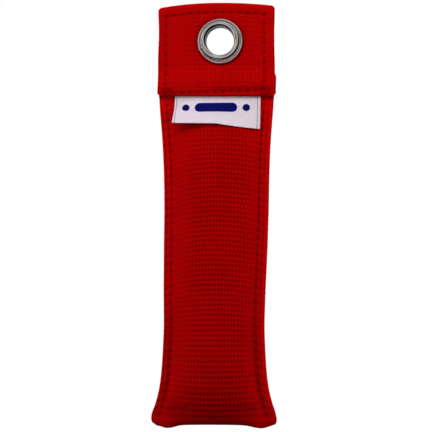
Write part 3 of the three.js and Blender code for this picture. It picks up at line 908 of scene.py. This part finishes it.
def label_grid():
    """The ribbon from inside the hem to its free edge, as a grid of its middle, and its flat coordinates."""
    root = LABEL_TOP - PIVOT_Z
    down = np.linspace(0, root + LABEL_FREE, LABEL_ROWS)
    a, d = np.meshgrid(np.linspace(0, 1, LABEL_COLUMNS), down)
    x0 = LABEL_LEFT + (LABEL_RIGHT - LABEL_LEFT) * a
    end_angle = np.radians(np.interp(a, *LABEL_ENDS))
    start = np.radians(3.2) * ease((d - LABEL_STRAIGHT) / 2)
    angle = start + (end_angle - start) * ease((d - root + 2.0) / 6.0)
    step = down[1] - down[0]
    z = LABEL_TOP - np.cumsum(np.cos(angle), 0) * step + step
    y = LABEL_Y - np.cumsum(np.sin(angle), 0) * step
    free = np.clip((d - root) / LABEL_FREE, 0, 1)
    hanging = np.clip((d - LABEL_STRAIGHT) / (down[-1] - LABEL_STRAIGHT), 0, 1)
    x = x0 - 1.3 * hanging * (1 - a) ** 1.5 - 0.4 * hanging * a
    y = y - 0.3 * free * np.sin(a * 9.0 + 0.6)
    clear_of_bag = front_y(x.ravel(), z.ravel()).reshape(x.shape) - 0.6
    y = np.where(z < -44, np.minimum(y, clear_of_bag), y)
    return np.stack([x, y, z], 2), np.stack([x0, LABEL_TOP - d], 2)


label_p, label_flat = label_grid()
label_cut = int(np.argmin(np.abs(label_p[:, LABEL_MIDDLE, 2] - LABEL_CUT)))


def label_piece(name, first, last):
    """Rows of the label as a thin closed slab."""
    part = label_p[first : last + 1]
    n = grid_normals(label_p)[first : last + 1] * LABEL_PLY / 2
    rows, columns = part.shape[:2]
    points = np.concatenate([(part + n).reshape(-1, 3), (part - n).reshape(-1, 3)])
    faces = grid_faces(rows, columns)
    under = faces[:, ::-1] + rows * columns
    index = np.arange(rows * columns).reshape(rows, columns)
    sides = [index[0, :-1], index[:-1, -1], index[-1, :0:-1], index[:0:-1, 0], index[0, :1]]
    border = np.concatenate(sides)
    uvs = np.tile(label_flat[first : last + 1].reshape(-1, 2), (2, 1))
    # The rim has points of its own, so that its corners stay sharp.
    rim = grid_faces(2, len(border))[:, ::-1] + len(points)
    both = np.concatenate([border, border + rows * columns])
    points, uvs = np.concatenate([points, points[both]]), np.concatenate([uvs, uvs[both]])
    return mesh_object(name, points, np.concatenate([faces, under, rim]), uvs)


label_upper = label_piece("label_upper", 0, label_cut)
label_lower = label_piece("label_lower", label_cut, len(label_p) - 1)


# ---- Eyelet ----

EYELET_STEPS = 160
EYELET_SHEET = 0.5
EYELET_FINER = 6  # steps from one point of a profile to the next
BURR_AT = np.radians(202)


def lathe(name, profile, node, askew=0.0):
    """A sheet of metal turned round the eyelet's axis. profile: (radius, y) of the middle of the metal.

    askew: how far the front of it was rolled off centre, up and to the left.
    """
    profile = np.array(profile, float)
    n = len(profile)
    path = resample(n, np.linspace(0, n - 1, (n - 1) * EYELET_FINER + 1)) @ profile
    along = unit(np.gradient(path, axis=0))
    normal = np.stack([-along[:, 1], along[:, 0]], 1) * EYELET_SHEET / 2
    ends = []
    turns = np.radians([-60, -30, 0, 30, 60])[:, None]
    for k, direction in ((0, -1), (-1, 1)):
        outwards = direction * along[k] * EYELET_SHEET / 2
        ends.append(path[k] + outwards * np.cos(turns) - direction * normal[k] * np.sin(turns))
    outline = np.concatenate([path + normal, ends[1], (path - normal)[::-1], ends[0]])
    angles = 2 * np.pi * np.arange(EYELET_STEPS) / EYELET_STEPS
    r, y = outline[:, 0][:, None], outline[:, 1][:, None]
    # A small burr where the lip split as it was rolled.
    spot = bell((angles - BURR_AT) / 0.045)[None, :] * ease((r - 12.8) / 1.2) * (y < -2.0)
    r = r + 0.55 * spot
    y = y - 0.35 * spot
    off = askew * ease((-0.8 - y) / 1.6)
    points = np.stack([r * np.cos(angles) - off, y + 0 * angles, r * np.sin(angles) + off], 2)
    uvs = np.stack(np.broadcast_arrays(angles[None, :] * 10, np.arange(len(outline))[:, None] * 0.3), 2)
    rows = len(outline)
    faces = grid_faces(rows + 1, EYELET_STEPS, wrap=True) % (rows * EYELET_STEPS)
    piece = mesh_object(name, points.reshape(-1, 3), faces, uvs.reshape(-1, 2))
    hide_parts(node)
    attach(piece, "header")
    return piece


WALL = 10.25
ROLL_R, ROLL_Y, ROLL_RISE = 12.65, -2.35, 1.8  # of the lip rolled outwards over the washer
ROLL_INWARDS, ROLL_OUTWARDS = 2.1, 1.6  # its reach either side of its crest
ROLL = []
for turn in np.radians(np.linspace(180, 345, 15)):
    reach = ROLL_INWARDS if np.cos(turn) < 0 else ROLL_OUTWARDS
    ROLL.append((ROLL_R + reach * np.cos(turn), ROLL_Y + ROLL_RISE * np.sin(turn)))
BACK_FLANGE = [(BACK_FLANGE_R, 1.5), (15.4, 2.15), (13.8, 2.4), (WALL + 1.3, 2.2), (WALL + 0.4, 1.7)]
BARREL = [*BACK_FLANGE, (WALL, 0.9), (WALL, -0.6), *ROLL]
WASHER = [(16.3, -1.4), (16.2, -2.15), (15.8, -2.6), (15.2, -2.5), (14.6, -2.1), (12.8, -2.05), (11.3, -1.9)]
eyelet_barrel = lathe("eyelet_barrel_rolled", BARREL, "eyelet_barrel", askew=0.3)
eyelet_washer = lathe("eyelet_washer_ring", WASHER, "eyelet_washer")


# ---- Materials ----


class Tree:
    """A node tree, built by short calls."""

    def __init__(self, owner):
        owner.use_nodes = True
        self.tree = owner.node_tree
        self.tree.nodes.clear()

    def add(self, kind, inputs=None, **settings):
        """A node. Its inputs, by name or number, are values or what they are linked to."""
        node = self.tree.nodes.new(kind)
        for key, value in settings.items():
            setattr(node, key, value)
        for key, value in (inputs or {}).items():
            self.put(node.inputs[key], value)
        return node

    def put(self, socket, value):
        if isinstance(value, bpy.types.NodeSocket):
            self.tree.links.new(value, socket)
        else:
            socket.default_value = value

    def math(self, operation, *values):
        return self.add("ShaderNodeMath", dict(enumerate(values)), operation=operation).outputs[0]

    def times(self, a, b):
        return self.math("MULTIPLY", a, b)

    def plus(self, a, b):
        return self.math("ADD", a, b)

    def minus(self, a, b):
        return self.math("SUBTRACT", a, b)

    def size(self, a):
        return self.math("ABSOLUTE", a)

    def attribute(self, name):
        return self.add("ShaderNodeAttribute", attribute_name=name).outputs["Fac"]

    def uv(self):
        """The cloth UV as two numbers."""
        uv = self.add("ShaderNodeUVMap", uv_map="cloth").outputs[0]
        return self.add("ShaderNodeSeparateXYZ", {0: uv}).outputs[:2]

    def object_position(self):
        return self.add("ShaderNodeTexCoord").outputs["Object"]

    def vector(self, x, y):
        return self.add("ShaderNodeCombineXYZ", {0: x, 1: y}).outputs[0]

    def noise(self, vector, scale, detail=2.0, roughness=0.5):
        inputs = {"Vector": vector, "Scale": scale, "Detail": detail, "Roughness": roughness}
        return self.add("ShaderNodeTexNoise", inputs).outputs["Fac"]

    def scaled(self, *values):
        """Takes a value from one range to another: value, low, high, new low, new high."""
        return self.add("ShaderNodeMapRange", dict(enumerate(values))).outputs[0]

    def shades(self, value, stops):
        """A colour ramp: stops are (position, colour)."""
        node = self.add("ShaderNodeValToRGB", {0: value})
        ramp = node.color_ramp
        while len(ramp.elements) < len(stops):
            ramp.elements.new(0.5)
        for element, (position, colour) in zip(ramp.elements, stops):
            element.position = position
            element.color = (*colour, 1)
        return node.outputs[0]


class Surface(Tree):
    """A material round one principled shader."""

    def __init__(self, name):
        self.material = bpy.data.materials.new(name)
        super().__init__(self.material)
        self.shader = self.add("ShaderNodeBsdfPrincipled")
        self.add("ShaderNodeOutputMaterial", {0: self.shader.outputs[0]})

    def bump(self, height, distance, strength=1.0):
        inputs = {"Height": height, "Distance": distance, "Strength": strength}
        self.put(self.shader.inputs["Normal"], self.add("ShaderNodeBump", inputs).outputs[0])

    def finish(self, **values):
        for key, value in values.items():
            self.put(self.shader.inputs[key.replace("_", " ")], value)
        return self.material


RED_DARK = (0.045, 0.0, 0.0002)
RED = (0.42, 0.0002, 0.0004)
RED_LIGHT = (0.56, 0.0003, 0.0006)


def webbing_material():
    """Heavy woven webbing. The weave here is the one in the mesh, at a finer scale."""
    m = Surface("webbing")
    u, v = m.uv()
    zigzag = m.math("MULTIPLY_ADD", m.math("PINGPONG", v, 1.0), 2.0, -1.0)
    phase = m.math("MULTIPLY_ADD", zigzag, 0.25, u)
    yarn = m.math("POWER", m.size(m.math("SINE", m.times(phase, np.pi))), 0.8)
    middle = m.math("MULTIPLY_ADD", m.math("COSINE", m.times(v, 2 * np.pi)), -0.5, 0.5)
    open_gap = m.math("MULTIPLY_ADD", middle, 0.62, 0.38)
    gap = m.times(m.minus(1.0, yarn), open_gap)
    gap = m.times(gap, m.attribute("weave"))
    position = m.object_position()
    # Filaments run along each zigzag yarn.
    filaments = m.noise(m.vector(m.times(phase, 9.0), m.times(v, 1.3)), 1.6, 3.0, 0.6)
    patches = m.noise(position, 38.0, 3.0, 0.55)
    # The gaps between the yarns are darkened: painted shade. The next factor adds the painted shade of pits,
    # creases and grooves, and the painted highlight on the sides.
    shade = m.scaled(gap, 0.0, 0.85, 1.0, 0.48)
    shade = m.times(shade, m.scaled(m.attribute("painted_shade"), -0.5, 1.0, 1.44, 0.12))
    shade = m.times(shade, m.scaled(filaments, 0.25, 0.75, 0.84, 1.1))
    shade = m.times(shade, m.scaled(patches, 0.3, 0.7, 0.92, 1.06))
    colour = m.shades(m.times(shade, 0.8), [(0.0, RED_DARK), (0.8, RED), (1.0, RED_LIGHT)])
    height = m.plus(m.times(gap, -1.0), m.times(filaments, 0.35))
    m.bump(height, 0.0003, 0.9)
    return m.finish(
        Base_Color=colour,
        Roughness=m.scaled(filaments, 0.2, 0.8, 0.8, 0.95),
        Specular_IOR_Level=0.03,
        Sheen_Weight=0.12,
        Sheen_Roughness=0.4,
        Sheen_Tint=(1.0, 0.0, 0.0, 1),
    )


def inner_ply_material():
    """The webbing's cut and folded edges inside the header."""
    m = Surface("webbing_ply")
    position = m.object_position()
    inputs = {"Vector": position, "Scale": 280.0, "Distortion": 2.0}
    wave = m.add("ShaderNodeTexWave", inputs, wave_type="BANDS", bands_direction="DIAGONAL")
    fuzz = m.noise(position, 1400.0, 3.0)
    value = m.times(m.math("MULTIPLY_ADD", wave.outputs["Fac"], 0.4, 0.3), fuzz)
    colour = m.shades(value, [(0.0, RED_DARK), (0.5, RED), (1.0, RED_LIGHT)])
    m.bump(value, 0.0003)
    return m.finish(Base_Color=colour, Roughness=0.9, Specular_IOR_Level=0.03)


def thread_material():
    """Thick bonded thread, laid up from twisted plies."""
    m = Surface("thread")
    along, around = m.uv()
    twist = m.plus(m.times(along, 1.1), m.times(around, 2.0))
    ply = m.size(m.math("SINE", m.times(twist, np.pi)))
    fuzz = m.noise(m.object_position(), 900.0, 2.0)
    # The grooves between the plies are darkened: painted shade.
    value = m.times(m.scaled(ply, 0.0, 1.0, 0.62, 0.98), m.scaled(fuzz, 0.3, 0.7, 0.88, 1.1))
    value = m.times(value, m.scaled(m.attribute("painted_shade"), 0.0, 1.0, 1.0, 0.4))
    colour = m.shades(value, [(0.0, RED_DARK), (0.7, (0.36, 0.0002, 0.0004)), (1.0, RED)])
    m.bump(ply, 0.0001)
    return m.finish(Base_Color=colour, Roughness=0.85, Specular_IOR_Level=0.02)


NICKEL = [(0.0, (0.66, 0.64, 0.62)), (0.6, (0.58, 0.56, 0.54)), (1.0, (0.4, 0.39, 0.37))]


def eyelet_material():
    """Nickel plate, with fine turning marks and a few rubbed spots."""
    m = Surface("eyelet")
    turn, across = m.uv()
    marks = m.noise(m.vector(m.times(turn, 0.05), m.times(across, 9.0)), 6.0, 4.0, 0.6)
    wear_and_side_highlight = m.noise(m.object_position(), 420.0, 4.0, 0.6)
    roughness = m.plus(m.scaled(marks, 0.3, 0.7, 0.04, 0.08), m.scaled(wear_and_side_highlight, 0.5, 0.75, 0.0, 0.08))
    colour = m.shades(wear_and_side_highlight, NICKEL)
    m.bump(marks, 0.000005, 0.1)
    return m.finish(Base_Color=colour, Metallic=1.0, Roughness=roughness)


LEFT_HEM, RIGHT_HEM = 1.3, 2.1  # of the label's ends, folded under
MARK_Z = -48.6
BAR_X, BAR_HALF_WIDTH, BAR_RADIUS = -2.6, 11.5, 3.7
DOTS_X, DOT_RADIUS = (-24.2, 19.0), 2.7
SATIN = [(0.0, (0.46, 0.4, 0.46)), (0.6, (0.72, 0.63, 0.7)), (1.0, (0.86, 0.79, 0.85))]
NAVY = [(0.0, (0.0, 0.0004, 0.02)), (0.6, (0.0, 0.0012, 0.1)), (1.0, (0.0, 0.003, 0.18))]


def label_material():
    """Woven satin ribbon with a plain bar and two dots, and a painted shadow line where each end is folded
    under.
    """
    m = Surface("label")
    x, z = m.uv()
    weft = m.math("SINE", m.times(z, 2 * np.pi / 0.42))
    warp = m.math("SINE", m.times(x, 2 * np.pi / 0.36))
    fine = m.noise(m.vector(m.times(x, 0.3), m.times(z, 3.0)), 2.0, 3.0)

    def slot_shape(cx, half_width, radius):
        """1 inside a bar with round ends."""
        dx = m.math("MAXIMUM", m.minus(m.size(m.minus(x, cx)), half_width), 0.0)
        dz = m.minus(z, MARK_Z)
        distance = m.math("SQRT", m.plus(m.times(dx, dx), m.times(dz, dz)))
        return m.scaled(distance, radius - 0.15, radius + 0.15, 1.0, 0.0)

    mark = slot_shape(BAR_X, BAR_HALF_WIDTH, BAR_RADIUS)
    for dot_x in DOTS_X:
        mark = m.math("MAXIMUM", mark, slot_shape(dot_x, 0.0, DOT_RADIUS))
    # A thin painted shadow line, in navy, where each end is folded under.
    left_fold = m.size(m.minus(x, LABEL_LEFT + LEFT_HEM))
    right_fold = m.size(m.minus(x, LABEL_RIGHT - RIGHT_HEM))
    fold = m.math("MINIMUM", left_fold, right_fold)
    line = m.scaled(fold, 0.12, 0.32, 0.75, 0.0)
    thread = m.plus(m.times(weft, 0.1), m.times(warp, 0.06))
    value = m.plus(m.plus(0.6, thread), m.times(m.minus(fine, 0.5), 0.3))
    marked = m.math("MAXIMUM", mark, line)
    inputs = {"Factor": marked, "A": m.shades(value, SATIN), "B": m.shades(value, NAVY)}
    colour = m.add("ShaderNodeMix", inputs, data_type="RGBA").outputs["Result"]
    m.bump(m.plus(weft, m.times(warp, 0.6)), 0.00004, 0.8)
    return m.finish(Base_Color=colour, Roughness=0.6, Specular_IOR_Level=0.1, Sheen_Weight=0.03)


def liner_material():
    m = Surface("liner")
    grain = m.noise(m.object_position(), 700.0, 4.0)
    colour = m.shades(grain, [(0.3, (0.03, 0.03, 0.032)), (0.7, (0.075, 0.075, 0.08))])
    m.bump(grain, 0.0002)
    return m.finish(Base_Color=colour, Roughness=0.8)


def shot_material():
    """Loose steel balls."""
    m = Surface("shot")
    inputs = {"Vector": m.object_position(), "Scale": 400.0}
    balls = m.add("ShaderNodeTexVoronoi", inputs, feature="F1")
    round_height = m.scaled(balls.outputs["Distance"], 0.0, 0.6, 1.0, 0.0)
    # Each ball's colour darkens from its top towards the gaps between balls: painted shade.
    colour = m.shades(round_height, [(0.0, (0.05, 0.05, 0.05)), (1.0, (0.45, 0.45, 0.46))])
    m.bump(round_height, 0.001)
    return m.finish(Base_Color=colour, Metallic=0.9, Roughness=0.4)


def paint(piece, material):
    piece.data.materials.clear()
    piece.data.materials.append(material)


webbing = webbing_material()
thread = thread_material()
eyelet = eyelet_material()
label_satin = label_material()
for piece in (sleeve_front, sleeve_back, header_back, header_flap):
    paint(piece, webbing)
for piece in threads:
    paint(piece, thread)
for piece in (eyelet_barrel, eyelet_washer):
    paint(piece, eyelet)
for piece in (label_upper, label_lower):
    paint(piece, label_satin)
paint(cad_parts["header_inner_ply"], inner_ply_material())
paint(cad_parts["liner"], liner_material())
paint(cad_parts["shot_fill"], shot_material())

# ---- What rides on what ----

for piece in (sleeve_front, sleeve_back):
    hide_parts("sleeve")
    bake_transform(piece)
for piece in (header_back, header_flap):
    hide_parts("header_wrap")
    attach(piece, "header")
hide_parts("label_root")
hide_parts("label")
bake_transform(label_upper)
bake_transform(label_lower)

# ---- Camera, light and floor ----

AIM = np.array([-3.15, 0.0, -126.15]) * MM
DISTANCE = 1.3
FRAME_WIDTH = 0.31
AZIMUTH, ELEVATION = np.radians(4.0), np.radians(-4.0)
camera_data = bpy.data.cameras.new("camera")
camera_data.sensor_width = 36.0
camera_data.lens = 36.0 * DISTANCE / FRAME_WIDTH
camera = bpy.data.objects.new("camera", camera_data)
level = np.array([np.sin(AZIMUTH), -np.cos(AZIMUTH), 0.0])
toward = level * np.cos(ELEVATION) + np.array([0.0, 0.0, np.sin(ELEVATION)])
camera.location = AIM + DISTANCE * toward


def aim(obj, target):
    direction = Vector(target) - obj.location
    obj.rotation_euler = direction.to_track_quat("-Z", "Y").to_euler()


aim(camera, AIM)
scene.collection.objects.link(camera)
scene.camera = camera

KEY_POWER, RIGHT_POWER, LEFT_POWER, BACK_POWER, SKY = 2.8, 3.6, 2.8, 9.0, 0.26


def area_light(name, location, target, size, power):
    data = bpy.data.lights.new(name, "AREA")
    data.shape = "RECTANGLE"
    data.size, data.size_y = size
    data.energy = power
    light = bpy.data.objects.new(name, data)
    light.location = location
    light.visible_glossy = False  # the metal mirrors the studio, not the lamps
    scene.collection.objects.link(light)
    aim(light, target)


area_light("key", (-0.12, -0.44, 0.42), (0, 0, -0.03), (0.6, 0.4), KEY_POWER)
area_light("right", (0.7, -0.42, 0.08), (0, 0, -0.1), (0.5, 0.7), RIGHT_POWER)
area_light("left", (-0.7, -0.42, 0.08), (0, 0, -0.1), (0.5, 0.7), LEFT_POWER)
area_light("behind", (0.0, 0.8, 0.8), (0, 0, -0.12), (0.7, 0.7), BACK_POWER)

FLOOR_HALF, FLOOR_Z = 2.0, -1.8
floor_mesh = bpy.data.meshes.new("floor")
corners = [(x * FLOOR_HALF, y * FLOOR_HALF, FLOOR_Z) for x, y in ((-1, -1), (1, -1), (1, 1), (-1, 1))]
floor_mesh.from_pydata(corners, [], [(0, 1, 2, 3)])
floor = bpy.data.objects.new("floor", floor_mesh)
scene.collection.objects.link(floor)
plain = Surface("floor")
paint(floor, plain.finish(Base_Color=(0.75, 0.75, 0.75, 1), Roughness=0.9))
floor.visible_glossy = False

# The camera sees white. Light comes from a studio that is bright above on the left and dark below on the
# right. Metal mirrors a studio of its own, with streaks, dark at the lower right and behind.
LIGHTING = ((0.0, 1.0), (0.3, 0.85), (0.5, 0.5), (0.62, 0.03), (1.0, 0.01))
MIRRORED = ((0.0, 0.2), (0.08, 0.9), (0.17, 0.25), (0.27, 1.0), (0.35, 0.4), (0.41, 0.05), (0.5, 0.0))
world = bpy.data.worlds.new("studio")
scene.world = world
studio = Tree(world)
direction = studio.add("ShaderNodeTexCoord").outputs["Generated"]
seen = studio.add("ShaderNodeLightPath").outputs


def background(strength, colour):
    return studio.add("ShaderNodeBackground", {"Color": colour, "Strength": strength}).outputs[0]


def streaked(darkest, greys, strength=1.0):
    """A background whose grey goes by the angle from its darkest direction, which comes last."""
    facing = studio.add("ShaderNodeVectorMath", {0: direction, 1: darkest}, operation="DOT_PRODUCT")
    level = studio.scaled(facing.outputs["Value"], -1.0, 1.0, 0.0, 1.0)
    stops = [(position, (grey, grey, grey)) for position, grey in greys]
    return background(strength, studio.shades(level, stops))


def combined(kind, *shaders):
    return studio.add(kind, dict(enumerate(shaders))).outputs[0]


# Metal that faces the back mirrors a lit wall there.
backwards = studio.add("ShaderNodeSeparateXYZ", {0: direction}).outputs["Y"]
wall = background(studio.scaled(backwards, 0.3, 0.9, 0.0, 0.5), (0.8, 0.8, 0.8, 1))
around = streaked((0.45, 0.0, -0.89), LIGHTING, SKY)
mirrored = combined("ShaderNodeAddShader", streaked((0.4, 0.5, -0.77), MIRRORED), wall)
unseen = combined("ShaderNodeMixShader", seen["Is Glossy Ray"], around, mirrored)
white = background(1.0, (1, 1, 1, 1))
everywhere = combined("ShaderNodeMixShader", seen["Is Camera Ray"], unseen, white)
studio.add("ShaderNodeOutputWorld", {0: everywhere})
scene.view_settings.view_transform = "Standard"
scene.view_settings.look = "None"
